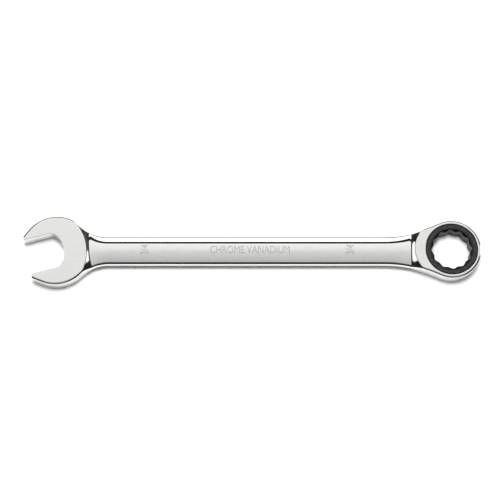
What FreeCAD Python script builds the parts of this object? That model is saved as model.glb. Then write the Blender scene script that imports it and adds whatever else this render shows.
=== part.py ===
"""Ratcheting combination wrench for 3/4 in hexagons: open jaw at one end, ratcheting ring at the other.

Row frame, millimetres: the origin is on the ring's drive axis, halfway through the wrench.
+Z leaves the front face, and the shank and the jaw lie along -X.
Each separate piece of the wrench is written to parts/ as a STEP file of its own.
"""

import FreeCAD
import Part
import math
import os

from FreeCAD import Vector

# Both ends fit the same hexagon.
ACROSS_FLATS = 19.05
FIT_CLEARANCE = 0.15
MOUTH_WIDTH = ACROSS_FLATS + FIT_CLEARANCE

# Shank: an oval bar that widens into each head. The heads stand a little proud of its sides.
SHANK_WIDTH = 16.2
SHANK_THICKNESS = 6.6
SHANK_SIDE_RADIUS = 2.2
SHANK_STATIONS = 12
HEAD_PROUD = 0.12
SHOULDER_SLOPE = 1.5

# Ring head, centred on the origin.
RING_RADIUS = 16.1
RING_THICKNESS = 9.4
RING_FLARE_RADIUS = 70.0
RING_SHOULDER_CENTRE = Vector(-4.9, 0, 0)
RING_SHOULDER_RADIUS = 14.9
RING_SHANK_END_X = -15.0
RING_EDGE_RADIUS = 0.6

# Open jaw. U runs out of the mouth and V across it, and the mouth is turned 15 degrees off the shank.
JAW_CENTRE = Vector(-213.9, -0.5, 0)
JAW_RADIUS = 19.2
JAW_THICKNESS = 8.6
JAW_TURN_DEG = 15.0
JAW_FLARE_RADIUS = 22.0
JAW_SHOULDER_CENTRE = Vector(-223.1, -2.2, 0)
JAW_SHOULDER_RADIUS = 25.7
JAW_SHANK_END_X = -200.0
JAW_EDGE_RADIUS = 0.5
MOUTH_OFFSET = 0.3
UPPER_NOSE = (14.2, 10.8)
LOWER_NOSE = (14.5, -10.8)
NOSE_RADIUS = 1.9
THROAT_FLOOR_U = -4.4
THROAT_FLOOR_RADIUS = 12.5
THROAT_CORNER_RADIUS = 3.0

# Ratchet gear: two plain journals with a band of saw teeth between them.
GEAR_HEIGHT = 9.2
JOURNAL_RADIUS = 14.05
JOURNAL_CLEARANCE = 0.06
TOOTH_COUNT = 72
TOOTH_TIP_RADIUS = 13.95
TOOTH_DEPTH = 0.55
TOOTH_BAND_HEIGHT = 5.8
STEEP_FLANK_DEG = 15.0
DRIVE_POINT_RADIUS = 10.9
DRIVE_TURN_DEG = 2.5
DRIVE_CHAMFER = 0.5
JOURNAL_CHAMFER = 0.25

# Retaining ring, snapped half into the gear and half into the head.
SNAP_Z = -3.65
SNAP_THICKNESS = 0.7
SNAP_INNER_RADIUS = 13.35
SNAP_OUTER_RADIUS = 14.5
SNAP_GAP_DEG = 22.0
GROOVE_CLEARANCE = 0.1

# Pawl: a round heel turns in the pocket's corner, and the toe carries the teeth.
POCKET_HEIGHT = 4.0
POCKET_BACK_X = -18.4
POCKET_TOP_Y = 6.4
HEEL = Vector(-16.6, -5.6, 0)
HEEL_RADIUS = 1.9
HEEL_CLEARANCE = 0.05
PAWL_HEIGHT = 3.9
PAWL_BACK_X = -17.2
PAWL_TOE_Y = 5.6
PAWL_FRONT_X = -12.0
PAWL_TEETH_FROM_Y = 0.2
PAWL_RELIEF_RADIUS = 14.3
MESH_CLEARANCE = 0.12
MESH_CLEARANCE_DEG = 0.35

# Plunger and spring, in a blind bore that runs into the shank behind the toe.
PLUNGER_Y = 3.4
PLUNGER_RADIUS = 1.2
PLUNGER_BORE_RADIUS = 1.25
PLUNGER_BORE_END_X = -27.5
PLUNGER_NOSE_X = -17.23
PLUNGER_SHOULDER_X = -22.5
PLUNGER_STEM_RADIUS = 0.55
PLUNGER_STEM_LENGTH = 2.0
SPRING_MEAN_RADIUS = 0.9
SPRING_WIRE_RADIUS = 0.17
SPRING_TURNS = 7

MARGIN = 1.0
TOUCH = 1e-4
UP = Vector(0, 0, 1)
ORIGIN = Vector(0, 0, 0)


def disc(centre, radius):
    """A flat round face in the XY plane."""
    return Part.Face(Part.Wire(Part.makeCircle(radius, centre)))


def slab(face, thickness, z_middle=0.0):
    """The face made into a plate of that thickness about z_middle."""
    lifted = face.translated(Vector(0, 0, z_middle - thickness / 2))
    return lifted.extrude(Vector(0, 0, thickness))


def rectangle(x_low, x_high, y_low, y_high):
    """A flat rectangular face."""
    corners = [(x_low, y_low), (x_high, y_low), (x_high, y_high), (x_low, y_high), (x_low, y_low)]
    return Part.Face(Part.makePolygon([Vector(x, y, 0) for x, y in corners]))


def closed_face(edges):
    """The flat face inside a loop of edges, looking up whichever way round the loop was drawn."""
    face = Part.Face(Part.Wire(edges))
    if face.normalAt(0, 0).z < 0:
        face.reverse()
    return face


def plate(faces, thickness):
    """Overlapping or touching flat faces made into one plate about the middle plane."""
    solids = [slab(face, thickness) for face in faces]
    return solids[0].fuse(solids[1:]).removeSplitter()


def polar(radius, degrees):
    """A point in the XY plane from its polar coordinates about the origin."""
    return Vector(radius * math.cos(math.radians(degrees)), radius * math.sin(math.radians(degrees)), 0)


def jaw_point(u, v):
    """A point given along and across the jaw's mouth, in the row frame."""
    turn = math.radians(180 + JAW_TURN_DEG)
    out = Vector(math.cos(turn), math.sin(turn), 0)
    across = Vector(math.sin(turn), -math.cos(turn), 0)
    return JAW_CENTRE + out * u + across * v


def flare_arcs(centre, radius, fillet_radius, towards_shank, half_width):
    """The centres of the two concave arcs, +Y side first, that widen the shank into a round head."""
    centres = []
    for side in (1, -1):
        arc_y = side * (half_width + fillet_radius)
        reach = math.sqrt((radius + fillet_radius) ** 2 - (arc_y - centre.y) ** 2)
        centres.append(Vector(centre.x + towards_shank * reach, arc_y, 0))
    return centres


def flare(centre, radius, fillet_radius, towards_shank):
    """The web that fills in between the shank and a round head."""
    half = SHANK_WIDTH / 2 + HEAD_PROUD
    arcs = []
    for arc_centre in flare_arcs(centre, radius, fillet_radius, towards_shank, half):
        on_shank = Vector(arc_centre.x, math.copysign(half, arc_centre.y), 0)
        on_head = centre + (arc_centre - centre) * (radius / (radius + fillet_radius))
        halfway = (on_shank + on_head) / 2 - arc_centre
        middle = arc_centre + halfway * (fillet_radius / halfway.Length)
        arcs.append((on_shank, middle, on_head))
    (a, a_middle, a_head), (b, b_middle, b_head) = arcs
    edges = [
        Part.Arc(a, a_middle, a_head).toShape(),
        Part.LineSegment(a_head, b_head).toShape(),
        Part.Arc(b_head, b_middle, b).toShape(),
        Part.LineSegment(b, a).toShape(),
    ]
    return closed_face(edges)


def shoulder(centre, radius, thickness):
    """A round plate that widens towards its middle plane, to slope a head down to the shank."""
    half = thickness / 2
    wide = radius + half * SHOULDER_SLOPE
    upper = Part.makeCone(wide, radius, half, centre, UP)
    lower = Part.makeCone(wide, radius, half, centre, -UP)
    return upper.fuse(lower)


def hull_of_discs(centre_a, radius_a, centre_b, radius_b):
    """The face wrapped tightly round two discs of different size."""
    along = centre_b - centre_a
    tilt = math.acos((radius_a - radius_b) / along.Length)
    heading = math.atan2(along.y, along.x)
    touching = [
        [c + Vector(math.cos(heading + s * tilt), math.sin(heading + s * tilt), 0) * r for s in (1, -1)]
        for c, r in ((centre_a, radius_a), (centre_b, radius_b))
    ]
    (a_left, a_right), (b_left, b_right) = touching
    far_a = centre_a - along * (radius_a / along.Length)
    far_b = centre_b + along * (radius_b / along.Length)
    edges = [
        Part.Arc(a_left, far_a, a_right).toShape(),
        Part.LineSegment(a_right, b_right).toShape(),
        Part.Arc(b_right, far_b, b_left).toShape(),
        Part.LineSegment(b_left, a_left).toShape(),
    ]
    return closed_face(edges)


def rim_edges(solid, z_faces):
    """The edges of a plate that lie flat in its two broad faces."""
    flat = [e for e in solid.Edges if e.BoundBox.ZLength < TOUCH]
    return [e for e in flat if abs(abs(e.BoundBox.ZMin) - z_faces) < TOUCH]


def oval(x, y_low, y_high):
    """The shank's section at x: two shallow crowns joined by a round side at each of the two y limits."""
    middle, half = (y_low + y_high) / 2, (y_high - y_low) / 2
    top, side = SHANK_THICKNESS / 2, SHANK_SIDE_RADIUS
    side_y = half - side
    crown = (side_y ** 2 + top ** 2 - side ** 2) / (2 * (top - side))
    tangent_y = side_y + side * side_y / (crown - side)
    tangent_z = side * (crown - top) / (crown - side)

    def at(y, z):
        return Vector(x, middle + y, z)

    edges = [
        Part.Arc(at(-tangent_y, tangent_z), at(0, top), at(tangent_y, tangent_z)).toShape(),
        Part.Arc(at(tangent_y, tangent_z), at(half, 0), at(tangent_y, -tangent_z)).toShape(),
        Part.Arc(at(tangent_y, -tangent_z), at(0, -top), at(-tangent_y, -tangent_z)).toShape(),
        Part.Arc(at(-tangent_y, -tangent_z), at(-half, 0), at(-tangent_y, tangent_z)).toShape(),
    ]
    return Part.Wire(edges)


def flared_end(centre, radius, fillet_radius, towards_shank, x_end):
    """The part of the shank that widens into a head, as a smooth run of ovals out to x_end."""
    arcs = flare_arcs(centre, radius, fillet_radius, towards_shank, SHANK_WIDTH / 2)
    x_start = max(arc.x * towards_shank for arc in arcs) * towards_shank
    sections = []
    for n in range(SHANK_STATIONS + 1):
        x = x_start + (x_end - x_start) * n / SHANK_STATIONS
        limits = []
        for arc in arcs:
            past = max(0, (arc.x - x) * towards_shank)
            limits.append(arc.y - math.copysign(math.sqrt(fillet_radius ** 2 - past ** 2), arc.y))
        sections.append(oval(x, limits[1], limits[0]))
    return x_start, Part.makeLoft(sections, True, False)


def shank():
    """The crowned bar between the heads, flaring out to both of them."""
    jaw_x, jaw_end = flared_end(JAW_CENTRE, JAW_RADIUS, JAW_FLARE_RADIUS, 1, JAW_SHANK_END_X)
    ring_x, ring_end = flared_end(ORIGIN, RING_RADIUS, RING_FLARE_RADIUS, -1, RING_SHANK_END_X)
    bar = Part.Face(oval(jaw_x, -SHANK_WIDTH / 2, SHANK_WIDTH / 2)).extrude(Vector(ring_x - jaw_x, 0, 0))
    return bar.fuse([jaw_end, ring_end])


def ring_plate():
    """The thick head round the ratchet gear, with its sloped shoulder on the shank."""
    web = slab(flare(ORIGIN, RING_RADIUS, RING_FLARE_RADIUS, -1), RING_THICKNESS)
    web = web.common(shoulder(RING_SHOULDER_CENTRE, RING_SHOULDER_RADIUS, RING_THICKNESS))
    solid = slab(disc(ORIGIN, RING_RADIUS), RING_THICKNESS).fuse(web).removeSplitter()
    return solid.makeFillet(RING_EDGE_RADIUS, rim_edges(solid, RING_THICKNESS / 2))


def mouth():
    """What the jaw's mouth takes away: a parallel slot with a curved floor and rounded corners."""
    half = MOUTH_WIDTH / 2
    far = JAW_RADIUS + JAW_THICKNESS
    middle_u = THROAT_FLOOR_U + THROAT_FLOOR_RADIUS
    corner_u = middle_u - math.sqrt(THROAT_FLOOR_RADIUS ** 2 - half ** 2)
    top, low = MOUTH_OFFSET + half, MOUTH_OFFSET - half
    edges = [
        Part.LineSegment(jaw_point(far, low), jaw_point(corner_u, low)).toShape(),
        Part.Arc(
            jaw_point(corner_u, low), jaw_point(THROAT_FLOOR_U, MOUTH_OFFSET), jaw_point(corner_u, top)
        ).toShape(),
        Part.LineSegment(jaw_point(corner_u, top), jaw_point(far, top)).toShape(),
        Part.LineSegment(jaw_point(far, top), jaw_point(far, low)).toShape(),
    ]
    solid = slab(closed_face(edges), JAW_THICKNESS + 2 * MARGIN)
    corners = [jaw_point(corner_u, v) for v in (top, low)]
    upright = [
        e for e in solid.Edges
        if e.BoundBox.ZLength > MARGIN
        and min((Vector(e.Vertexes[0].X, e.Vertexes[0].Y, 0) - c).Length for c in corners) < TOUCH
    ]
    return solid.makeFillet(THROAT_CORNER_RADIUS, upright)


def jaw_plate():
    """The open-ended head: a round plate with two blunt noses and the mouth cut between them."""
    noses = [
        hull_of_discs(JAW_CENTRE, JAW_RADIUS, jaw_point(u, v), NOSE_RADIUS)
        for u, v in (UPPER_NOSE, LOWER_NOSE)
    ]
    web = flare(JAW_CENTRE, JAW_RADIUS, JAW_FLARE_RADIUS, 1)
    solid = plate([disc(JAW_CENTRE, JAW_RADIUS), web] + noses, JAW_THICKNESS)
    solid = solid.common(shoulder(JAW_SHOULDER_CENTRE, JAW_SHOULDER_RADIUS, JAW_THICKNESS))
    solid = solid.removeSplitter()
    solid = solid.makeFillet(JAW_EDGE_RADIUS, rim_edges(solid, JAW_THICKNESS / 2))
    return solid.cut(mouth())


def snap_groove(inner_radius, outer_radius):
    """The ring of space that a snap ring's groove takes out of the gear or the head."""
    face = disc(ORIGIN, outer_radius).cut(disc(ORIGIN, inner_radius))
    return slab(face, SNAP_THICKNESS + GROOVE_CLEARANCE, SNAP_Z)


def pawl_pocket():
    """The pocket that opens into the ring's bore, with a round socket for the pawl's heel."""
    room = rectangle(POCKET_BACK_X, -DRIVE_POINT_RADIUS, HEEL.y, POCKET_TOP_Y)
    socket = disc(HEEL, HEEL_RADIUS + HEEL_CLEARANCE)
    heel_way = rectangle(HEEL.x, -DRIVE_POINT_RADIUS, HEEL.y - HEEL_RADIUS - HEEL_CLEARANCE, HEEL.y)
    return plate([room, socket, heel_way], POCKET_HEIGHT)


def plunger_cylinder(radius, x_from, x_to):
    """A cylinder on the plunger's axis between two places along X."""
    return Part.makeCylinder(radius, x_to - x_from, Vector(x_from, PLUNGER_Y, 0), Vector(1, 0, 0))


def wrench_body():
    """The one-piece forging: shank, jaw and ring head, with the ratchet's bore, groove and pocket."""
    forging = shank().fuse([ring_plate(), jaw_plate()]).removeSplitter()
    forging = forging.cut(mouth())
    bore = Part.makeCylinder(
        JOURNAL_RADIUS + JOURNAL_CLEARANCE, RING_THICKNESS + 2 * MARGIN,
        Vector(0, 0, -RING_THICKNESS / 2 - MARGIN),
    )
    groove = snap_groove(JOURNAL_RADIUS - MARGIN, SNAP_OUTER_RADIUS + GROOVE_CLEARANCE)
    spring_bore = plunger_cylinder(PLUNGER_BORE_RADIUS, PLUNGER_BORE_END_X, POCKET_BACK_X + MARGIN)
    return forging.cut([bore, groove, pawl_pocket(), spring_bore])


def saw_teeth(extra_radius=0.0, turn_deg=0.0):
    """The outline of the ratchet teeth. Each rises gently and drops steeply going counter-clockwise."""
    pitch = 360 / TOOTH_COUNT
    root = TOOTH_TIP_RADIUS - TOOTH_DEPTH
    steep = math.degrees(TOOTH_DEPTH * math.tan(math.radians(STEEP_FLANK_DEG)) / TOOTH_TIP_RADIUS)
    points = []
    for n in range(TOOTH_COUNT):
        start = n * pitch + turn_deg
        points.append(polar(root + extra_radius, start))
        points.append(polar(TOOTH_TIP_RADIUS + extra_radius, start + pitch - steep))
    return Part.Face(Part.makePolygon(points + points[:1]))


def drive_opening():
    """The twelve-point hole: two hexagons a twelfth of a turn apart, with their points rounded off."""
    corner = MOUTH_WIDTH / math.sqrt(3)
    height = GEAR_HEIGHT + 2 * MARGIN
    hexagons = []
    for turn in (0, 30):
        points = [polar(corner, side * 60 + turn + DRIVE_TURN_DEG) for side in range(7)]
        hexagons.append(slab(Part.Face(Part.makePolygon(points)), height))
    return hexagons[0].fuse(hexagons[1]).common(slab(disc(ORIGIN, DRIVE_POINT_RADIUS), height))


def lead_in(side):
    """The cone that chamfers the drive opening at the front (1) or the back (-1)."""
    mouth_radius = DRIVE_POINT_RADIUS + DRIVE_CHAMFER / 2
    face_z = side * GEAR_HEIGHT / 2
    depth = 2 * DRIVE_CHAMFER
    start = Vector(0, 0, face_z - side * depth)
    return Part.makeCone(mouth_radius - depth, mouth_radius, depth, start, Vector(0, 0, side))


def ratchet_gear():
    """The drive ring: journals at both faces, saw teeth between them and a twelve-point opening."""
    toothed = slab(saw_teeth(), TOOTH_BAND_HEIGHT)
    journal_height = (GEAR_HEIGHT - TOOTH_BAND_HEIGHT) / 2
    gear = toothed
    for side in (1, -1):
        start = Vector(0, 0, side * TOOTH_BAND_HEIGHT / 2)
        journal = Part.makeCylinder(JOURNAL_RADIUS, journal_height, start, Vector(0, 0, side))
        rim = [e for e in journal.Edges if abs(e.BoundBox.ZMin - side * GEAR_HEIGHT / 2) < TOUCH]
        gear = gear.fuse(journal.makeChamfer(JOURNAL_CHAMFER, rim))
    groove = snap_groove(SNAP_INNER_RADIUS - GROOVE_CLEARANCE, JOURNAL_RADIUS + MARGIN)
    return gear.cut([drive_opening(), lead_in(1), lead_in(-1), groove])


def retaining_ring():
    """The split snap ring that holds the gear in the head."""
    ring = disc(ORIGIN, SNAP_OUTER_RADIUS).cut(disc(ORIGIN, SNAP_INNER_RADIUS))
    reach = SNAP_OUTER_RADIUS + MARGIN
    half_gap = SNAP_GAP_DEG / 2
    corners = [ORIGIN, polar(reach, 180 - half_gap), polar(reach, 180 + half_gap), ORIGIN]
    return slab(ring.cut(Part.Face(Part.makePolygon(corners))), SNAP_THICKNESS, SNAP_Z)


def pawl():
    """The one-way pawl: a bar with a round heel, cut to the gear's teeth at its toe."""
    bar = rectangle(PAWL_BACK_X, PAWL_FRONT_X, HEEL.y, PAWL_TOE_Y)
    bar = plate([bar, disc(HEEL, HEEL_RADIUS)], PAWL_HEIGHT)
    toothed_part = rectangle(POCKET_BACK_X, 0, PAWL_TEETH_FROM_Y, PAWL_TOE_Y + MARGIN)
    relief = slab(disc(ORIGIN, PAWL_RELIEF_RADIUS).cut(toothed_part), PAWL_HEIGHT)
    mesh = [
        slab(saw_teeth(MESH_CLEARANCE, turn), PAWL_HEIGHT)
        for turn in (-MESH_CLEARANCE_DEG, 0, MESH_CLEARANCE_DEG)
    ]
    return bar.cut([relief] + mesh).removeSplitter()


def spring_plunger():
    """The pin between the spring and the pawl: a round-nosed body with a stem for the spring."""
    nose_middle = PLUNGER_NOSE_X - PLUNGER_RADIUS
    body = plunger_cylinder(PLUNGER_RADIUS, PLUNGER_SHOULDER_X, nose_middle)
    nose = Part.makeSphere(PLUNGER_RADIUS, Vector(nose_middle, PLUNGER_Y, 0))
    stem_end_x = PLUNGER_SHOULDER_X - PLUNGER_STEM_LENGTH
    stem = plunger_cylinder(PLUNGER_STEM_RADIUS, stem_end_x, PLUNGER_SHOULDER_X)
    return body.fuse([nose, stem]).removeSplitter()


def pawl_spring():
    """The compression spring that keeps the plunger against the pawl."""
    start_x = PLUNGER_BORE_END_X + SPRING_WIRE_RADIUS
    height = PLUNGER_SHOULDER_X - SPRING_WIRE_RADIUS - start_x
    helix = Part.makeHelix(height / SPRING_TURNS, height, SPRING_MEAN_RADIUS)
    wire_start = Vector(SPRING_MEAN_RADIUS, 0, 0)
    section = Part.Wire(Part.makeCircle(SPRING_WIRE_RADIUS, wire_start, Vector(0, 1, 0)))
    spring = Part.Wire(helix).makePipeShell([section], True, True)
    spring.rotate(ORIGIN, Vector(0, 1, 0), 90)
    return spring.translated(Vector(start_x, PLUNGER_Y, 0))


def main():
    os.makedirs("parts", exist_ok=True)
    for piece in (wrench_body, ratchet_gear, retaining_ring, pawl, spring_plunger, pawl_spring):
        shape = piece()
        shape.exportStep(f"parts/{piece.__name__}.step")
        box = shape.BoundBox
        print(f"{piece.__name__}: {len(shape.Solids)} solid, valid {shape.isValid()}, "
              f"{box.XLength:.2f} x {box.YLength:.2f} x {box.ZLength:.2f} mm, {shape.Volume:.1f} mm3")


main()
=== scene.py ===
"""Ratcheting combination wrench: the surfaces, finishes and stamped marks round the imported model."""

import math

import bmesh
import bpy
import numpy as np
from mathutils import Matrix, Vector
from mathutils.geometry import delaunay_2d_cdt
from mathutils.kdtree import KDTree


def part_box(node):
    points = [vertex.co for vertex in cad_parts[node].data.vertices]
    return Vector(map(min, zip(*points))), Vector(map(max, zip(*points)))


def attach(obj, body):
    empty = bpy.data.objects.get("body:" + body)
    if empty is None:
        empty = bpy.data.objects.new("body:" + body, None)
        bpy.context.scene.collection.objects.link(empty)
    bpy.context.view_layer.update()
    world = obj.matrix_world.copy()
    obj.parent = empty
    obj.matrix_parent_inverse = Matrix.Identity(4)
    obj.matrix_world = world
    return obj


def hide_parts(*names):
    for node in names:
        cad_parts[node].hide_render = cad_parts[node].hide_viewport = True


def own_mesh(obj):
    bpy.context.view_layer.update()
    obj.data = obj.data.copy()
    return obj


bl_info = {
    "name": "Ratcheting combination wrench",
    "version": (1, 0, 0),
    "blender": (4, 5, 0),
    "location": "3D view > Sidebar > Wrench",
    "description": "Forged and plated body, ratchet set, marks and a plain studio round a packed wrench",
    "category": "Object",
}

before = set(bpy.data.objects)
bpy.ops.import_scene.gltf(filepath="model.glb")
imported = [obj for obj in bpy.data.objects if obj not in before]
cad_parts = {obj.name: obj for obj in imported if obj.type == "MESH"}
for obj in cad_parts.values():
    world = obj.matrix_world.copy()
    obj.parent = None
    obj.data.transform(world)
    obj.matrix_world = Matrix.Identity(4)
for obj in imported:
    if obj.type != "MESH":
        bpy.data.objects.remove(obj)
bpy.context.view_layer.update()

MM = 0.001

body_low, body_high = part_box("wrench_body")
gear_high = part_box("ratchet_gear")[1]
snap_low, snap_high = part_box("retaining_ring")
plunger_low, plunger_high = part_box("spring_plunger")
spring_low, spring_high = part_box("pawl_spring")


def mm(value):
    """Millimetres as scene units."""
    return value * MM


def srgb(code):
    """An sRGB hex colour as the linear RGBA that Blender wants."""
    channels = [int(code[i:i + 2], 16) / 255 for i in (0, 2, 4)]
    linear = [c / 12.92 if c <= 0.04045 else ((c + 0.055) / 1.055) ** 2.4 for c in channels]
    return (*linear, 1.0)


# ---------------------------------------------------------------- settings

def length(name, description, default):
    """A length property with its default in millimetres."""
    return bpy.props.FloatProperty(
        name=name, description=description, default=mm(default), min=mm(0.05), unit="LENGTH", precision=5)


def colour(name, description, code):
    """A colour property with its default as an sRGB hex value."""
    return bpy.props.FloatVectorProperty(
        name=name, description=description, default=srgb(code), size=4, min=0, max=1, subtype="COLOR")


class ForgingSettings(bpy.types.PropertyGroup):
    shank_width: length("Shank width", "Across the shank's two round sides", 16.2)
    shank_thickness: length("Shank thickness", "Between the tops of the shank's two crowns", 6.6)
    side_radius: length("Side radius", "Of the shank's round sides", 2.2)
    cove: length("Cove", "Height over which a shoulder runs into the shank", 0.9)
    shoulder_edge: length("Shoulder edge", "Height over which a head's face rolls into its shoulder", 0.35)
    ring_rim: length("Ring rim", "Rounding round the outside of the ring head", 1.2)
    jaw_rim: length("Jaw rim", "Rounding round the outside of the jaw", 1.3)
    bore_rim: length("Inner rim", "Rounding at the ring's bore and along the jaw's mouth", 0.3)


class MarkSettings(bpy.types.PropertyGroup):
    size_text: bpy.props.StringProperty(
        name="Size", description="Hexagon size, stamped near each head", default="3/4")
    steel_text: bpy.props.StringProperty(
        name="Steel", description="Kind of steel, stamped in the middle of the shank",
        default="CHROME VANADIUM")
    depth: length("Depth", "How far the stamped marks go into the crown", 0.16)
    steel_length: length("Steel mark length", "Along the shank", 43.0)
    steel_height: length("Steel mark height", "Across the shank", 4.2)
    size_length: length("Size mark height", "Along the shank, because the size is turned across it", 4.2)
    size_width: length("Size mark width", "Across the shank", 5.4)


class FinishSettings(bpy.types.PropertyGroup):
    chrome: colour("Chrome", "Chrome plate", "E7E8E6")
    # Greyer than the chrome: painted shade in the floor of the stamped marks.
    stamped: colour("Stamped chrome", "Chrome plate in the bottom of the stamped marks", "D4D5D3")
    phosphate: colour("Phosphate", "Black phosphate on the gear's faces", "4B4B4A")
    # Painted shade: this dark colour is mixed in towards the gear's drive points and rim.
    phosphate_painted_shade: colour("Dark phosphate", "Black phosphate towards the gear's edges", "121213")
    spring: colour("Spring steel", "Snap ring and coiled spring", "9A9B9E")
    pawl: colour("Pawl steel", "Hardened pawl and plunger", "6E6A66")
    paper: colour("Paper", "Studio floor", "F4F4F4")


class StageSettings(bpy.types.PropertyGroup):
    floor_size: bpy.props.FloatProperty(
        name="Floor size", description="Width of the square floor", default=6.0, unit="LENGTH")
    elevation: bpy.props.FloatProperty(
        name="Elevation", description="Height of the camera above the horizon",
        default=math.radians(74.5), subtype="ANGLE")
    distance: bpy.props.FloatProperty(
        name="Distance", description="From the camera to the middle of the wrench", default=0.78,
        unit="LENGTH")
    lens: bpy.props.FloatProperty(
        name="Lens", description="Focal length on a 36 mm sensor", default=103.4, unit="CAMERA")
    fill: bpy.props.FloatProperty(
        name="Fill", description="Power of the high lamp behind the wrench, which lights the floor",
        default=42.0, unit="POWER")


# ---------------------------------------------------------------- the forging's plan and section

# Millimetres. The ring's sizes come from the frame, and the jaw's directions are turned 15 degrees.
RING_RADIUS = body_high.x / MM
RING_THICKNESS = (body_high.z - body_low.z) / MM
GEAR_CLEARANCE = 0.06
BORE_RADIUS = gear_high.x / MM + GEAR_CLEARANCE
RING_FLARE = 70.0
RING_SHOULDER = (-4.9, 0.0, 14.9)
JAW_CENTRE = (-213.9, -0.5)
JAW_RADIUS = 19.18
JAW_THICKNESS = 8.6
JAW_FLARE = 22.0
JAW_SHOULDER = (-223.1, -2.2, 25.7)
MOUTH_HEADING = 195.0
MOUTH_OFFSET = 0.3
MOUTH_HALF = 9.6
THROAT_FLOOR = -4.4
THROAT_RADIUS = 12.5
THROAT_CORNER = 3.0
UPPER_NOSE = (14.2, 10.8)
LOWER_NOSE = (14.5, -10.8)
NOSE_RADIUS = 1.9
NOSE_CORNER = 0.7
SHOULDER_SLOPE = 1.5
MIDWAY_X = JAW_CENTRE[0] / 2

# The rim bands are a rim wide at the heads and BAND_ON_SHANK wide along the shank, and change at these x.
BAND_STEPS = 9
BAND_ON_SHANK = 1.9
BAND_CHANGE_X = (-201, -190, -28, -18)
BAND_GAP = 0.2
ARC_STEP = 0.5
ARC_STEP_SHARE = 0.15
FLARE_REACH = 0.95
NEAR_WALL = 0.01
COINCIDENT = 1e-6
LINE_STEP = 1.0
GRID_STEP = 0.8
ROW_STEP = 0.16
ROW_POINT_STEP = 0.6
ROWS_BEFORE_CREST = 1.0
RIM_BLEND = 9
RIM_BEVEL = 0.4
RIM_BEVEL_TILT = math.radians(30)
NORMAL_PROBE = 0.002
SMOOTH_WITHIN_DEG = 30.0

# The ratchet's room inside the head, and where the marks are stamped.
PAWL_HEEL = (-16.6, -5.6, 1.95)
POCKET_BACK_X = -18.4
POCKET_FRONT_X = -10.9
POCKET_TOP_Y = 6.4
POCKET_HEIGHT = 4.0
PLUNGER_Y = (plunger_low.y + plunger_high.y) / 2 / MM
PLUNGER_CLEARANCE = 0.05
PLUNGER_BORE = (plunger_high.y - plunger_low.y) / 2 / MM + PLUNGER_CLEARANCE
BAR_SEGMENTS = 40
SNAP_CLEARANCE = 0.05
SNAP_DEPTH_CLEARANCE = 0.1
GROOVE_START = 1.0
GROOVE_STEPS = 128
DRIVE_POINT_RADIUS = 10.9

# The coiled spring.
COIL_RADIUS = 0.9
WIRE_RADIUS = 0.17
COIL_TURNS = 7.0
COIL_STEPS = 24
WIRE_SIDES = 10

LATHE_FEED = 0.45
STEEL_MARK_X = -109.0
SIZE_MARKS_X = (-54.9, -166.0)
MARK_REACH = 4.0
LETTER_SLICE = 0.5
CUTTER_ABOVE = 0.4

# How far the camera's aim is from the middle of the wrench, along X and Y.
CAMERA_AIM = (-0.8, 0.67)


def arc(centre, radius, start, end):
    """Points along an arc from one angle to another, in degrees, with both ends."""
    step = min(ARC_STEP, radius * ARC_STEP_SHARE)
    count = max(3, math.ceil(abs(math.radians(end - start)) * radius / step) + 1)
    angles = np.radians(np.linspace(start, end, count))
    return np.array(centre) + radius * np.stack((np.cos(angles), np.sin(angles)), axis=1)


def heading(start, end):
    """The direction from one plan point to another, in degrees."""
    return math.degrees(math.atan2(end[1] - start[1], end[0] - start[0]))


def jaw_point(u, v):
    """A plan point given along and across the jaw's mouth."""
    turn = math.radians(MOUTH_HEADING)
    return (JAW_CENTRE[0] + u * math.cos(turn) + v * math.sin(turn),
            JAW_CENTRE[1] + u * math.sin(turn) - v * math.cos(turn))


def jaw_heading(u, v):
    """The plan direction, in degrees, of an offset along and across the jaw's mouth."""
    return MOUTH_HEADING - math.degrees(math.atan2(v, u))


def flare_centre(centre, radius, flare, towards, side, half):
    """The centre of a concave arc that runs from the shank's side into a round head."""
    y = side * (half + flare)
    return centre[0] + towards * math.sqrt((radius + flare) ** 2 - (y - centre[1]) ** 2), y


def nose_tangent(nose, side):
    """The direction in which a straight flank touches both the jaw's disc and a nose."""
    reach = math.hypot(*nose)
    return jaw_heading(*nose) + side * math.degrees(math.acos((JAW_RADIUS - NOSE_RADIUS) / reach))


def nose_arcs(nose, side):
    """A nose's end and the small round between it and the mouth's wall, counter-clockwise."""
    wall = MOUTH_OFFSET + side * MOUTH_HALF
    across = wall + side * NOSE_CORNER - nose[1]
    along = math.sqrt((NOSE_RADIUS - NOSE_CORNER) ** 2 - across ** 2)
    corner = jaw_point(nose[0] + along, nose[1] + across)
    meeting = jaw_heading(along, across)
    wall_heading = jaw_heading(0, -side)
    flank = nose_tangent(nose, -side)
    if side > 0:
        return [arc(jaw_point(*nose), NOSE_RADIUS, flank, meeting),
                arc(corner, NOSE_CORNER, meeting, wall_heading)]
    return [arc(corner, NOSE_CORNER, wall_heading, meeting),
            arc(jaw_point(*nose), NOSE_RADIUS, meeting, flank)]


def mouth_arcs():
    """The mouth's floor with a round corner on each side, clockwise."""
    centre = (THROAT_FLOOR + THROAT_RADIUS, MOUTH_OFFSET)
    across = MOUTH_HALF - THROAT_CORNER
    along = -math.sqrt((THROAT_RADIUS - THROAT_CORNER) ** 2 - across ** 2)
    upper = jaw_heading(along, across)
    lower = jaw_heading(along, -across) - 360
    corners = [jaw_point(centre[0] + along, centre[1] + side * across) for side in (1, -1)]
    return [arc(corners[0], THROAT_CORNER, jaw_heading(0, 1), upper),
            arc(jaw_point(*centre), THROAT_RADIUS, upper, lower),
            arc(corners[1], THROAT_CORNER, lower, jaw_heading(0, -1) - 360)]


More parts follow.
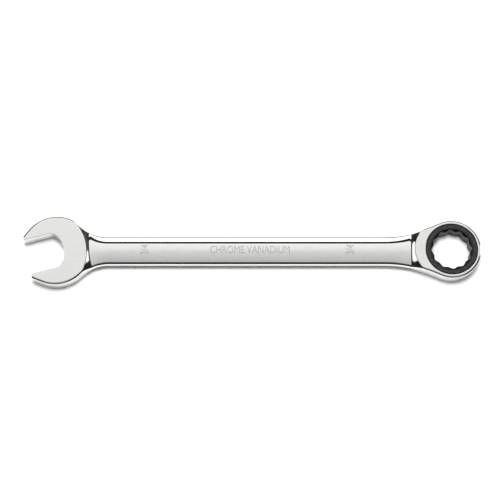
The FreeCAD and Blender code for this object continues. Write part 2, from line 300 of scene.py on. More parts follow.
def outer_outline(half):
    """The wrench's whole outline, mouth included, counter-clockwise."""
    ring_up, ring_low = [flare_centre((0, 0), RING_RADIUS, RING_FLARE, -1, side, half) for side in (1, -1)]
    jaw_up, jaw_low = [flare_centre(JAW_CENTRE, JAW_RADIUS, JAW_FLARE, 1, side, half) for side in (1, -1)]
    runs = [
        arc((0, 0), RING_RADIUS, heading((0, 0), ring_low), heading((0, 0), ring_up)),
        arc(ring_up, RING_FLARE, heading(ring_up, (0, 0)), -90),
        arc(jaw_up, JAW_FLARE, -90, heading(jaw_up, JAW_CENTRE)),
        arc(JAW_CENTRE, JAW_RADIUS, heading(JAW_CENTRE, jaw_up), nose_tangent(UPPER_NOSE, -1)),
        *nose_arcs(UPPER_NOSE, 1),
        *mouth_arcs(),
        *nose_arcs(LOWER_NOSE, -1),
        arc(JAW_CENTRE, JAW_RADIUS, nose_tangent(LOWER_NOSE, 1), heading(JAW_CENTRE, jaw_low) + 360),
        arc(jaw_low, JAW_FLARE, heading(jaw_low, JAW_CENTRE), 90),
        arc(ring_low, RING_FLARE, 90, heading(ring_low, (0, 0))),
    ]
    points = np.concatenate(runs)
    apart = np.linalg.norm(points - np.roll(points, 1, axis=0), axis=1)
    points = points[apart > COINCIDENT]
    filled = []
    for here, there in zip(points, np.roll(points, -1, axis=0)):
        count = math.ceil(np.linalg.norm(there - here) / LINE_STEP)
        filled.extend(here + (there - here) * n / count for n in range(count))
    return np.array(filled)


def in_mouth(points):
    """Whether each plan point is on the mouth's walls or floor."""
    turn = math.radians(MOUTH_HEADING)
    away = points - np.array(JAW_CENTRE)
    u = away[:, 0] * math.cos(turn) + away[:, 1] * math.sin(turn)
    v = away[:, 0] * math.sin(turn) - away[:, 1] * math.cos(turn)
    return (u > THROAT_FLOOR - NEAR_WALL) & (np.abs(v - MOUTH_OFFSET) < MOUTH_HALF + NOSE_CORNER / 2)


class Plan:
    """The forging's outline and bore, and the height of its front face over any plan point."""

    def __init__(self, sizes):
        self.half = sizes.shank_width / MM / 2
        self.top = sizes.shank_thickness / MM / 2
        self.side = sizes.side_radius / MM
        self.cove = sizes.cove / MM
        self.crest = sizes.shoulder_edge / MM
        outer = outer_outline(self.half)
        bore = arc((0, 0), BORE_RADIUS, 360, 0)[:-1]
        self.loops = (outer, bore)
        self.line = np.concatenate(self.loops)
        order = [np.arange(len(outer)), len(outer) + np.arange(len(bore))]
        self.before = np.concatenate([np.roll(o, 1) for o in order])
        self.after = np.concatenate([np.roll(o, -1) for o in order])
        ring_rim, jaw_rim, bore_rim = sizes.ring_rim / MM, sizes.jaw_rim / MM, sizes.bore_rim / MM
        rim = np.where(outer[:, 0] > MIDWAY_X, ring_rim, np.where(in_mouth(outer), bore_rim, jaw_rim))
        bevel = np.where(in_mouth(outer), 0, RIM_BEVEL)
        shifts = range(-(RIM_BLEND // 2), RIM_BLEND // 2 + 1)
        rim, bevel = [np.mean([np.roll(values, n) for n in shifts], axis=0) for values in (rim, bevel)]
        self.rim = np.concatenate((rim, np.full(len(bore), bore_rim)))
        self.bevel = np.concatenate((bevel, np.zeros(len(bore))))
        along = self.line[self.after] - self.line[self.before]
        along /= np.linalg.norm(along, axis=1)[:, None]
        self.outward = np.stack((along[:, 1], -along[:, 0]), axis=1)
        self.tree = KDTree(len(self.line))
        for n, (x, y) in enumerate(self.line):
            self.tree.insert((x, y, 0), n)
        self.tree.balance()
        self.flares = [
            [flare_centre((0, 0), RING_RADIUS, RING_FLARE, -1, s, self.half)[0] for s in (1, -1)],
            [flare_centre(JAW_CENTRE, JAW_RADIUS, JAW_FLARE, 1, s, self.half)[0] for s in (1, -1)],
        ]

    def nearest(self, points):
        """For each plan point, the outline point closest to it."""
        return np.array([self.tree.find((x, y, 0))[1] for x, y in points])

    def distance(self, points, near):
        """How far each plan point is from the outline, measured to the two stretches at the near point."""
        best = np.full(len(points), np.inf)
        for start, end in ((self.before[near], near), (near, self.after[near])):
            a, b = self.line[start], self.line[end]
            run = b - a
            share = np.einsum("ij,ij->i", points - a, run) / np.einsum("ij,ij->i", run, run)
            foot = a + run * np.clip(share, 0, 1)[:, None]
            best = np.minimum(best, np.linalg.norm(points - foot, axis=1))
        return best

    def inside(self, points):
        """Whether each plan point is on the metal."""
        x, y = points[:, 0, None], points[:, 1, None]
        crossings = np.zeros(len(points), dtype=int)
        for loop in self.loops:
            ax, ay = loop[None, :, 0], loop[None, :, 1]
            end = np.roll(loop, -1, axis=0)
            bx, by = end[None, :, 0], end[None, :, 1]
            straddles = (ay > y) != (by > y)
            rise = np.where(by == ay, 1, by - ay)
            crossings += (straddles & (x < ax + (bx - ax) * (y - ay) / rise)).sum(axis=1)
        return crossings % 2 == 1

    def side_limit(self, x, n):
        """How far the shank's side is from the centreline at x: the +Y side is 0 and the -Y side 1."""
        (ring_x, jaw_x) = (self.flares[0][n], self.flares[1][n])
        limit = np.full(x.shape, self.half)
        for flare, past in ((RING_FLARE, x - ring_x), (JAW_FLARE, jaw_x - x)):
            past = np.clip(past, 0, flare * FLARE_REACH)
            limit = limit + flare - np.sqrt(flare ** 2 - past ** 2)
        return limit

    def shank_height(self, x, y):
        """The crowned oval bar, which widens with the flares."""
        high, low = self.side_limit(x, 0), -self.side_limit(x, 1)
        middle, half = (high + low) / 2, (high - low) / 2
        across = np.abs(y - middle)
        side_y = half - self.side
        crown = (side_y ** 2 + self.top ** 2 - self.side ** 2) / (2 * (self.top - self.side))
        tangent = side_y + self.side * side_y / (crown - self.side)
        on_crown = self.top - crown + np.sqrt(np.clip(crown ** 2 - across ** 2, 0, None))
        on_side = np.sqrt(np.clip(self.side ** 2 - np.clip(across - side_y, 0, None) ** 2, 0, None))
        return np.where(across < tangent, on_crown, on_side)

    def rim_drop(self, points, near):
        """How far a head's face has fallen towards the outline: a round, a narrow bevel and a round."""
        rim = self.rim[near]
        radius = rim / (1 + self.bevel[near])
        into = np.clip(rim - self.distance(points, near), 0, None)
        on_bevel = np.clip(into - radius * math.sin(RIM_BEVEL_TILT), 0, rim - radius)
        on_round = np.sqrt(np.clip(radius ** 2 - (into - on_bevel) ** 2, 0, None))
        return radius - on_round + on_bevel * math.tan(RIM_BEVEL_TILT)

    def height(self, points, near):
        """Half the forging's thickness at each plan point."""
        x, y = points[:, 0], points[:, 1]
        at_ring = x > MIDWAY_X
        head = np.where(at_ring, RING_THICKNESS, JAW_THICKNESS) / 2
        centre_x, centre_y, radius = [
            np.where(at_ring, ring, jaw) for ring, jaw in zip(RING_SHOULDER, JAW_SHOULDER)
        ]
        past = np.hypot(x - centre_x, y - centre_y) - radius
        slope = head - past / SHOULDER_SLOPE
        beyond = np.where(at_ring, x > centre_x, x < centre_x)
        slope = np.where(beyond, head + self.crest, slope)
        head = smooth_min(head, slope, self.crest) - self.rim_drop(points, near)
        return smooth_max(self.shank_height(x, y), head, self.cove)

    def facing(self, points, near):
        """The front face's outward direction at each plan point."""
        slopes = []
        for step in np.array(((NORMAL_PROBE, 0), (0, NORMAL_PROBE))):
            rise = self.height(points + step, near) - self.height(points - step, near)
            slopes.append(-rise / (2 * NORMAL_PROBE))
        up = np.stack((slopes[0], slopes[1], np.ones(len(points))), axis=1)
        return up / np.linalg.norm(up, axis=1)[:, None]


def smooth_max(a, b, reach):
    """The larger of two heights, with a round hollow where they cross."""
    return np.maximum(a, b) + np.clip(reach - np.abs(a - b), 0, None) ** 2 / (4 * reach)


def smooth_min(a, b, reach):
    """The smaller of two heights, with a round crest where they cross."""
    return -smooth_max(-a, -b, reach)


def shoulder_rows():
    """Closely spaced rows of plan points along both shoulders, from the crest to past the hollow."""
    rows = []
    for (cx, cy, radius), thickness, start in (
        (RING_SHOULDER, RING_THICKNESS, 90), (JAW_SHOULDER, JAW_THICKNESS, -90)
    ):
        for past in np.arange(-ROWS_BEFORE_CREST, thickness / 2 * SHOULDER_SLOPE, ROW_STEP):
            row = radius + past
            count = math.ceil(math.pi * row / ROW_POINT_STEP)
            angles = np.radians(start + 180 * (np.arange(count) + 0.5) / count)
            rows.append(np.stack((cx + row * np.cos(angles), cy + row * np.sin(angles)), axis=1))
    return np.concatenate(rows)


def in_shoulder(points):
    """Whether each plan point is where the shoulder rows already are."""
    at_ring = points[:, 0] > MIDWAY_X
    cx, cy, radius = [np.where(at_ring, r, j) for r, j in zip(RING_SHOULDER, JAW_SHOULDER)]
    past = np.hypot(points[:, 0] - cx, points[:, 1] - cy) - radius
    reach = np.where(at_ring, RING_THICKNESS, JAW_THICKNESS) / 2 * SHOULDER_SLOPE
    facing_shank = np.where(at_ring, points[:, 0] < cx, points[:, 0] > cx)
    return facing_shank & (past > -ROWS_BEFORE_CREST - GRID_STEP / 2) & (past < reach + GRID_STEP / 2)


def forged_mesh(plan):
    """The forging before its cuts: front face, its mirror image, and the walls between them."""
    width = np.interp(plan.line[:, 0], BAND_CHANGE_X, (1, 0, 0, 1))
    width = width * plan.rim + (1 - width) * BAND_ON_SHANK
    angles = np.linspace(0, math.pi / 2, BAND_STEPS + 1)
    bands = [plan.line - plan.outward * (width * (1 - math.cos(a)))[:, None] for a in angles]
    ring_count = len(plan.line)

    low, high = plan.line.min(axis=0), plan.line.max(axis=0)
    columns = np.arange(low[0], high[0], GRID_STEP)
    rows = np.arange(low[1], high[1], GRID_STEP)
    grid = np.array([(x + (n % 2) * GRID_STEP / 2, y) for n, y in enumerate(rows) for x in columns])
    grid = grid[~in_shoulder(grid)]
    inner = np.concatenate((grid, shoulder_rows()))
    inner = inner[plan.inside(inner)]
    near = plan.nearest(inner)
    inner = inner[plan.distance(inner, near) > width[near] + BAND_GAP]

    flat = [Vector(p) for p in np.concatenate((bands[-1], inner))]
    edges = [(n, int(plan.after[n])) for n in range(ring_count)]
    _, _, faces, sources, _, _ = delaunay_2d_cdt(flat, edges, [], 1, COINCIDENT)
    source = [s[0] if s else -1 for s in sources]
    offset = ring_count * BAND_STEPS
    plan_points = np.concatenate((*bands[:-1], bands[-1], inner))
    round_bore = set(range(len(plan.loops[0]), ring_count))
    triangles = []
    for face in faces:
        corners = [source[v] for v in face]
        if not round_bore.issuperset(corners):
            triangles.append([v + offset for v in corners])
    index = np.arange(ring_count)
    for k in range(BAND_STEPS):
        a, b = index + k * ring_count, plan.after + k * ring_count
        triangles.extend(np.stack((a, b, b + ring_count, a + ring_count), axis=1).tolist())

    near = plan.nearest(plan_points)
    z = plan.height(plan_points, near)
    count = len(plan_points)
    upper = np.column_stack((plan_points, z))
    lower = np.column_stack((plan_points, -z))
    below = [[v + count for v in reversed(face)] for face in triangles]
    walls = np.stack((plan.after, index, index + count, plan.after + count), axis=1).tolist()
    mesh = bpy.data.meshes.new("forging")
    mesh.from_pydata((np.concatenate((upper, lower)) * MM).tolist(), [], triangles + below + walls)
    merge(mesh)
    return mesh


def merge(mesh, gap=1e-7):
    """Join points that lie together, and turn every face outwards."""
    shape = bmesh.new()
    shape.from_mesh(mesh)
    bmesh.ops.remove_doubles(shape, verts=shape.verts, dist=gap)
    bmesh.ops.dissolve_degenerate(shape, edges=shape.edges, dist=gap)
    bmesh.ops.recalc_face_normals(shape, faces=shape.faces)
    shape.to_mesh(mesh)
    shape.free()


# ---------------------------------------------------------------- cuts in the forging

def slab(outline, low, high):
    """A closed upright solid over a plan outline given in millimetres, counter-clockwise."""
    count = len(outline)
    points = [(x * MM, y * MM, z * MM) for z in (low, high) for x, y in outline]
    sides = [(n, (n + 1) % count, (n + 1) % count + count, n + count) for n in range(count)]
    mesh = bpy.data.meshes.new("slab")
    mesh.from_pydata(points, [], [tuple(reversed(range(count))), tuple(range(count, 2 * count))] + sides)
    merge(mesh)
    return mesh


def cylinder_along_x(radius, x_from, x_to, y):
    """A closed round bar along X, in millimetres."""
    shape = bmesh.new()
    middle = Matrix.Translation(((x_from + x_to) / 2 * MM, y * MM, 0))
    bmesh.ops.create_cone(
        shape, cap_ends=True, segments=BAR_SEGMENTS, radius1=radius * MM, radius2=radius * MM,
        depth=(x_to - x_from) * MM, matrix=middle @ Matrix.Rotation(math.pi / 2, 4, "Y"))
    mesh = bpy.data.meshes.new("bar")
    shape.to_mesh(mesh)
    shape.free()
    return mesh


def snap_groove_mesh():
    """The ring of space for the snap ring, starting inside the bore."""
    middle, reach = (snap_low.z + snap_high.z) / 2 / MM, snap_high.x / MM + SNAP_DEPTH_CLEARANCE
    half = (snap_high.z - snap_low.z) / 2 / MM + SNAP_CLEARANCE
    inner, steps = BORE_RADIUS - GROOVE_START, GROOVE_STEPS
    section = ((inner, -half), (reach, -half), (reach, half), (inner, half))
    points, faces = [], []
    for n in range(steps):
        turn = 2 * math.pi * n / steps
        for radius, z in section:
            points.append((radius * math.cos(turn) * MM, radius * math.sin(turn) * MM, (middle + z) * MM))
        for k in range(4):
            here, there = 4 * n, 4 * ((n + 1) % steps)
            faces.append((here + k, here + (k + 1) % 4, there + (k + 1) % 4, there + k))
    mesh = bpy.data.meshes.new("groove")
    mesh.from_pydata(points, [], faces)
    merge(mesh)
    return mesh


def pawl_pocket_mesh():
    """The pocket behind the gear, with a round socket round the pawl's heel."""
    heel_x, heel_y, heel_radius = PAWL_HEEL
    low_y = heel_y - heel_radius
    socket = arc((heel_x, heel_y), heel_radius, 180, 270)
    outline = [(POCKET_BACK_X, POCKET_TOP_Y), (POCKET_BACK_X, heel_y), *map(tuple, socket),
               (POCKET_FRONT_X, low_y), (POCKET_FRONT_X, POCKET_TOP_Y)]
    return slab(outline, -POCKET_HEIGHT / 2, POCKET_HEIGHT / 2)


def stamped(text, centre_x, turn, size_along, size_across, plan, depth):
    """Lettering as a closed cutter whose floor follows the crown, that deep under it."""
    curve = bpy.data.curves.new("mark", "FONT")
    curve.body = text
    curve.extrude = 0.5
    holder = bpy.data.objects.new("mark", curve)
    bpy.context.scene.collection.objects.link(holder)
    bpy.context.view_layer.update()
    mesh = bpy.data.meshes.new_from_object(holder.evaluated_get(bpy.context.evaluated_depsgraph_get()))
    bpy.data.objects.remove(holder)
    shape = bmesh.new()
    shape.from_mesh(mesh)
    bmesh.ops.remove_doubles(shape, verts=shape.verts, dist=1e-5)
    turned = Matrix.Rotation(turn, 4, "Z")
    bmesh.ops.transform(shape, matrix=turned, verts=shape.verts)
    low = Vector([min(v.co[n] for v in shape.verts) for n in range(3)])
    high = Vector([max(v.co[n] for v in shape.verts) for n in range(3)])
    for vertex in shape.verts:
        share = [(vertex.co[n] - low[n]) / (high[n] - low[n]) - 0.5 for n in range(2)]
        vertex.co = (centre_x * MM + share[0] * size_along, share[1] * size_across, vertex.co.z)
    for y in np.arange(-size_across / 2, size_across / 2, mm(LETTER_SLICE))[1:]:
        whole = shape.verts[:] + shape.edges[:] + shape.faces[:]
        bmesh.ops.bisect_plane(shape, geom=whole, plane_co=(0, y, 0), plane_no=(0, 1, 0))
    for vertex in shape.verts:
        crown = plan.shank_height(np.array([vertex.co.x / MM]), np.array([vertex.co.y / MM]))[0] * MM
        vertex.co.z = crown + (mm(CUTTER_ABOVE) if vertex.co.z > 0 else -depth)
    bmesh.ops.recalc_face_normals(shape, faces=shape.faces)
    shape.to_mesh(mesh)
    shape.free()
    return mesh


def cut(mesh, cutters):
    """The mesh with every cutter taken out of it."""
    solid = bpy.data.objects.new("solid", mesh)
    bpy.context.scene.collection.objects.link(solid)
    holders = []
    for cutter in cutters:
        holder = bpy.data.objects.new("cutter", cutter)
        bpy.context.scene.collection.objects.link(holder)
        holders.append(holder)
        modifier = solid.modifiers.new("cut", "BOOLEAN")
        modifier.operation = "DIFFERENCE"
        modifier.solver = "EXACT"
        modifier.object = holder
    bpy.context.view_layer.update()
    result = bpy.data.meshes.new_from_object(solid.evaluated_get(bpy.context.evaluated_depsgraph_get()))
    for holder in (solid, *holders):
        bpy.data.objects.remove(holder)
    merge(result)
    return result


def shade_by_section(mesh, plan):
    """Smooth shading that follows the forging's own section, and flat shading in the cuts."""
    count = len(mesh.vertices)
    co = np.empty(count * 3)
    mesh.vertices.foreach_get("co", co)
    co = co.reshape(-1, 3) / MM
    near = plan.nearest(co[:, :2])
    up = plan.facing(co[:, :2], near)
    up[:, 2] *= np.where(co[:, 2] < 0, -1, 1)
    side = np.column_stack((plan.outward[near], np.zeros(count)))
    at_wall = plan.distance(co[:, :2], near) < 2 * NORMAL_PROBE
    corner = np.empty(len(mesh.loops), dtype=int)
    mesh.loops.foreach_get("vertex_index", corner)
    face_normals = np.empty(len(mesh.polygons) * 3)
    mesh.polygons.foreach_get("normal", face_normals)
    sizes = np.empty(len(mesh.polygons), dtype=int)
    mesh.polygons.foreach_get("loop_total", sizes)
    flat = np.repeat(face_normals.reshape(-1, 3), sizes, axis=0)
    wanted = np.where(at_wall[:, None], side, up)[corner]
    close = np.einsum("ij,ij->i", flat, wanted) > math.cos(math.radians(SMOOTH_WITHIN_DEG))
    normals = np.where(close[:, None], wanted, flat)
    mesh.polygons.foreach_set("use_smooth", np.ones(len(mesh.polygons), dtype=bool))
    mesh.normals_split_custom_set(normals.tolist())


def sunken_faces(mesh, plan, depth):
    """Whether each face is the floor of a stamped mark."""
    middles = np.empty(len(mesh.polygons) * 3)
    mesh.polygons.foreach_get("center", middles)
    middles = middles.reshape(-1, 3) / MM
    under = plan.shank_height(middles[:, 0], middles[:, 1]) - middles[:, 2]
    along = middles[:, 0]
    on_shank = (along > min(SIZE_MARKS_X) - MARK_REACH) & (along < max(SIZE_MARKS_X) + MARK_REACH)
    on_top = (middles[:, 2] > plan.top / 2) & (np.abs(middles[:, 1]) < plan.half / 2)
    return on_shank & on_top & (under > depth / MM / 4)


def new_piece(name, mesh, body, material):
    """A finished piece that rides on a body and takes one finish."""
    mesh.name = name
    mesh.materials.clear()
    mesh.materials.append(material)
    piece = bpy.data.objects.new(name, mesh)
    bpy.context.scene.collection.objects.link(piece)
    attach(piece, body)
    return piece


class WRENCH_OT_forged_body(bpy.types.Operator):
    """Build the forged and plated body, with its cuts and stamped marks"""

    bl_idname = "wrench.forged_body"
    bl_label = "Forged body"

    def execute(self, context):
        plan = Plan(context.scene.wrench_forging)
        marks = context.scene.wrench_marks
        across = math.pi / 2
        cutters = [
            pawl_pocket_mesh(),
            snap_groove_mesh(),
            cylinder_along_x(PLUNGER_BORE, spring_low.x / MM, POCKET_BACK_X + 1, PLUNGER_Y),
            stamped(marks.steel_text, STEEL_MARK_X, 0, marks.steel_length, marks.steel_height, plan,
                    marks.depth),
        ]
        for x in SIZE_MARKS_X:
            cutters.append(
                stamped(marks.size_text, x, across, marks.size_length, marks.size_width, plan, marks.depth))
        mesh = cut(forged_mesh(plan), cutters)
        shade_by_section(mesh, plan)
        finish = context.scene.wrench_finish
        piece = new_piece("forged_body", mesh, "wrench", chrome_plate(finish))
        mesh.materials.append(mark_chrome_painted_shade(finish))
        mesh.polygons.foreach_set("material_index", sunken_faces(mesh, plan, marks.depth).astype(int))
        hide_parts("wrench_body")
        return {"FINISHED"}


# ---------------------------------------------------------------- materials

def set_stops(elements, stops):
    """Give a colour ramp these (position, colour) stops."""
    while len(elements) > 1:
        elements.remove(elements[-1])
    elements[0].position, elements[0].color = stops[0]
    for position, shade in stops[1:]:
        elements.new(position).color = shade


def add_node(tree, kind, settings=None, **links):
    """A node with its settings made. Each link names an input and gives a value or another node's output."""
    node = tree.nodes.new(kind)
    for key, value in (settings or {}).items():
        if key == "stops":
            set_stops(node.color_ramp.elements, value)
        else:
            setattr(node, key, value)
    for key, value in links.items():
        numbered = key[0] == "i" and key[1:].isdigit()
        socket = node.inputs[int(key[1:])] if numbered else node.inputs[key.replace("_", " ")]
        if isinstance(value, bpy.types.NodeSocket):
            tree.links.new(value, socket)
        else:
            socket.default_value = value
    return node


def new_material(name, **values):
    """A material with its shader and output, and single values set on the shader."""
    material = bpy.data.materials.new(name)
    material.use_nodes = True
    tree = material.node_tree
    tree.nodes.clear()
    shader = add_node(tree, "ShaderNodeBsdfPrincipled", **values)
    add_node(tree, "ShaderNodeOutputMaterial", Surface=shader.outputs["BSDF"])
    return material, tree, shader


def per_mm(size):
    """A pattern's scale, so that one feature measures that many millimetres."""
    return 1 / mm(size)


def stretched(tree, along, across):
    """Object coordinates for features that are that long along X and that wide across it, in mm."""
    place = add_node(tree, "ShaderNodeTexCoord").outputs["Object"]
    scale = (per_mm(along), per_mm(across), per_mm(across))
    return add_node(tree, "ShaderNodeMapping", Vector=place, Scale=scale).outputs[0]


def grey(level):
    """A neutral colour of that brightness."""
    return (level, level, level, 1)


def dimmed(colour_value, share):
    """A colour at that share of its brightness."""
    return (*(channel * share for channel in colour_value[:3]), 1)


def chrome_plate(finish):
    """Bright chrome over a buffed forging: a slightly wavy mirror with fine buffing lines lengthwise."""
    material, tree, shader = new_material("polished_chrome_plate", Metallic=1.0)
    waves = add_node(tree, "ShaderNodeTexNoise", Vector=stretched(tree, 9, 4), Scale=1.0, Detail=1.0)
    lines = add_node(tree, "ShaderNodeTexNoise", Vector=stretched(tree, 12, 0.25), Scale=1.0, Detail=3.0)
    haze = add_node(tree, "ShaderNodeTexNoise", Vector=stretched(tree, 6, 3), Scale=1.0, Detail=4.0)
    stops = ((0.3, dimmed(finish.chrome, 0.965)), (0.7, tuple(finish.chrome)))
    tint = add_node(tree, "ShaderNodeValToRGB", {"stops": stops}, Fac=haze.outputs[0])
    rough = add_node(tree, "ShaderNodeMapRange", Value=lines.outputs[0], From_Min=0.3, From_Max=0.7,
                     To_Min=0.03, To_Max=0.06)
    soft = add_node(tree, "ShaderNodeBump", Height=waves.outputs[0], Strength=0.05, Distance=mm(0.03))
    fine = add_node(tree, "ShaderNodeBump", Height=lines.outputs[0], Strength=0.012, Distance=mm(0.01),
                    Normal=soft.outputs[0])
    tree.links.new(tint.outputs["Color"], shader.inputs["Base Color"])
    tree.links.new(rough.outputs[0], shader.inputs["Roughness"])
    tree.links.new(fine.outputs[0], shader.inputs["Normal"])
    return material


def mark_chrome_painted_shade(finish):
    """Chrome plate that the buffing wheel can't reach, in the floor of a stamped mark: matt, and greyer as
    painted shade in the recess.
    """
    material, tree, shader = new_material("matt_chrome_painted_shade_in_marks", Metallic=1.0)
    place = add_node(tree, "ShaderNodeTexCoord").outputs["Object"]
    grain = add_node(tree, "ShaderNodeTexNoise", Vector=place, Scale=per_mm(0.4), Detail=3.0).outputs[0]
    stops = ((0.35, dimmed(finish.stamped, 0.88)), (0.65, tuple(finish.stamped)))
    tint = add_node(tree, "ShaderNodeValToRGB", {"stops": stops}, Fac=grain)
    rough = add_node(tree, "ShaderNodeMapRange", Value=grain, To_Min=0.3, To_Max=0.5)
    bump = add_node(tree, "ShaderNodeBump", Height=grain, Strength=0.3, Distance=mm(0.03))
    tree.links.new(tint.outputs["Color"], shader.inputs["Base Color"])
    tree.links.new(rough.outputs[0], shader.inputs["Roughness"])
    tree.links.new(bump.outputs[0], shader.inputs["Normal"])
    return material


# Painted light on the phosphate from the drive points (0) out to the gear's rim (1): painted shade at the
# drive points and at the rim, and a lighter painted sheen across the middle of the face.
PHOSPHATE_PAINTED_LIGHT = ((0.08, 0.0), (0.3, 0.55), (0.55, 1.0), (0.75, 0.85), (0.93, 0.1))


def black_phosphate(finish):
    """Manganese phosphate on a turned ring: dry grey-black, with fine lathe circles and a crystal grain, and
    painted light: painted shade towards the drive points and the rim, and a painted sheen band between them.
    """
    material, tree, shader = new_material("black_phosphate_steel", Metallic=0.55)
    place = add_node(tree, "ShaderNodeTexCoord").outputs["Object"]
    parts = add_node(tree, "ShaderNodeSeparateXYZ", Vector=place)
    flat = add_node(tree, "ShaderNodeCombineXYZ", X=parts.outputs["X"], Y=parts.outputs["Y"])
    radius = add_node(tree, "ShaderNodeVectorMath", {"operation": "LENGTH"},
                      i0=flat.outputs[0]).outputs["Value"]
    inner, outer = mm(DRIVE_POINT_RADIUS), gear_high.x
    across = add_node(tree, "ShaderNodeMapRange", Value=radius, From_Min=inner, From_Max=outer).outputs[0]
    turns = add_node(tree, "ShaderNodeMath", {"operation": "MULTIPLY"}, i0=radius,
                     i1=2 * math.pi * per_mm(LATHE_FEED)).outputs[0]
    circles = add_node(tree, "ShaderNodeMath", {"operation": "SINE"}, i0=turns).outputs[0]
    grain = add_node(tree, "ShaderNodeTexNoise", Vector=place, Scale=per_mm(0.9), Detail=4.0)
    # Painted light: painted shade towards the drive points and the rim, and a painted sheen band across the
    # face, mottled by the grain.
    stops = [(place_across, grey(level)) for place_across, level in PHOSPHATE_PAINTED_LIGHT]
    painted_light_band = add_node(tree, "ShaderNodeValToRGB", {"stops": stops}, Fac=across).outputs["Color"]
    mottle = add_node(tree, "ShaderNodeMapRange", Value=grain.outputs[0], From_Min=0.35, From_Max=0.65,
                      To_Min=0.2, To_Max=1.0).outputs[0]
    mottle_and_painted_light = add_node(tree, "ShaderNodeMath", {"operation": "MULTIPLY"}, i0=painted_light_band, i1=mottle)
    tint = add_node(tree, "ShaderNodeMix", {"data_type": "RGBA"}, i0=mottle_and_painted_light.outputs[0],
                    i6=tuple(finish.phosphate_painted_shade), i7=tuple(finish.phosphate))
    rough = add_node(tree, "ShaderNodeMapRange", Value=grain.outputs[0], To_Min=0.34, To_Max=0.5)
    turned = add_node(tree, "ShaderNodeBump", Height=circles, Strength=0.25, Distance=mm(0.02))
    dry = add_node(tree, "ShaderNodeBump", Height=grain.outputs[0], Strength=0.2, Distance=mm(0.03),
                   Normal=turned.outputs[0])
    tree.links.new(tint.outputs[2], shader.inputs["Base Color"])
    tree.links.new(rough.outputs[0], shader.inputs["Roughness"])
    tree.links.new(dry.outputs[0], shader.inputs["Normal"])
    return material


def worked_steel(name, tint, grain_long, grain_wide, rough_low, rough_high):
    """Bare oiled steel with a fine directional grain from how it was drawn or ground."""
    material, tree, shader = new_material(name, Metallic=1.0)
    grain = add_node(tree, "ShaderNodeTexNoise", Vector=stretched(tree, grain_long, grain_wide), Scale=1.0,
                     Detail=3.0).outputs[0]
    stops = ((0.3, dimmed(tint, 0.8)), (0.7, tuple(tint)))
    shade = add_node(tree, "ShaderNodeValToRGB", {"stops": stops}, Fac=grain)
    rough = add_node(tree, "ShaderNodeMapRange", Value=grain, From_Min=0.3, From_Max=0.7, To_Min=rough_low,
                     To_Max=rough_high)
    bump = add_node(tree, "ShaderNodeBump", Height=grain, Strength=0.15, Distance=mm(0.01))
    tree.links.new(shade.outputs["Color"], shader.inputs["Base Color"])
    tree.links.new(rough.outputs[0], shader.inputs["Roughness"])
    tree.links.new(bump.outputs[0], shader.inputs["Normal"])
    return material


def seamless_paper(finish):
    """White seamless background paper: matt, with a barely visible fibre."""
    material, tree, shader = new_material("white_seamless_paper", Roughness=0.9, Specular_IOR_Level=0.1)
    place = add_node(tree, "ShaderNodeTexCoord").outputs["Object"]
    fibre = add_node(tree, "ShaderNodeTexNoise", Vector=place, Scale=per_mm(0.8), Detail=2.0).outputs[0]
    stops = ((0.3, dimmed(finish.paper, 0.985)), (0.7, tuple(finish.paper)))
    shade = add_node(tree, "ShaderNodeValToRGB", {"stops": stops}, Fac=fibre)
    tree.links.new(shade.outputs["Color"], shader.inputs["Base Color"])
    return material


# ---------------------------------------------------------------- the ratchet set

def wire_coil():
    """A node group that winds round wire into a coil along X, and the identifiers of its inputs."""
    group = bpy.data.node_groups.new("wire_coil", "GeometryNodeTree")
    named = {}
    for name, kind in (("Turns", "Float"), ("Coil Radius", "Float"), ("Wire Radius", "Float"),
                       ("Length", "Float"), ("Start", "Vector"), ("Finish", "Material")):
        socket = group.interface.new_socket(name, in_out="INPUT", socket_type="NodeSocket" + kind)
        named[name] = socket.identifier
    group.interface.new_socket("Geometry", in_out="OUTPUT", socket_type="NodeSocketGeometry")
    given = add_node(group, "NodeGroupInput").outputs
    path = add_node(group, "GeometryNodeCurveSpiral", Resolution=COIL_STEPS, Rotations=given["Turns"],
                    Start_Radius=given["Coil Radius"], End_Radius=given["Coil Radius"],
                    Height=given["Length"])
    wire = add_node(group, "GeometryNodeCurvePrimitiveCircle", Resolution=WIRE_SIDES,
                    Radius=given["Wire Radius"])
    coil = add_node(group, "GeometryNodeCurveToMesh", Curve=path.outputs[0], Profile_Curve=wire.outputs[0],
                    Fill_Caps=True)
    laid = add_node(group, "GeometryNodeTransform", Geometry=coil.outputs[0], Translation=given["Start"],
                    Rotation=(0, math.pi / 2, 0))
    whole = add_node(group, "GeometryNodeRealizeInstances", Geometry=laid.outputs[0])
    dressed = add_node(group, "GeometryNodeSetMaterial", Geometry=whole.outputs[0], Material=given["Finish"])
    add_node(group, "NodeGroupOutput", Geometry=dressed.outputs[0])
    return group, named


def coil_mesh(material):
    """The coiled spring at rest, as a plain mesh."""
    group, named = wire_coil()
    values = {
        "Turns": COIL_TURNS, "Coil Radius": mm(COIL_RADIUS), "Wire Radius": mm(WIRE_RADIUS),
        "Length": spring_high.x - spring_low.x - 2 * mm(WIRE_RADIUS),
        "Start": (spring_low.x + mm(WIRE_RADIUS), mm(PLUNGER_Y), 0.0), "Finish": material,
    }
    holder = bpy.data.objects.new("coil", bpy.data.meshes.new("coil"))
    bpy.context.scene.collection.objects.link(holder)
    modifier = holder.modifiers.new("coil", "NODES")
    modifier.node_group = group
    for name, value in values.items():
        modifier[named[name]] = value
    bpy.context.view_layer.update()
    mesh = bpy.data.meshes.new_from_object(holder.evaluated_get(bpy.context.evaluated_depsgraph_get()))
    bpy.data.objects.remove(holder)
    merge(mesh)
    mesh.polygons.foreach_set("use_smooth", np.ones(len(mesh.polygons), dtype=bool))
    return mesh


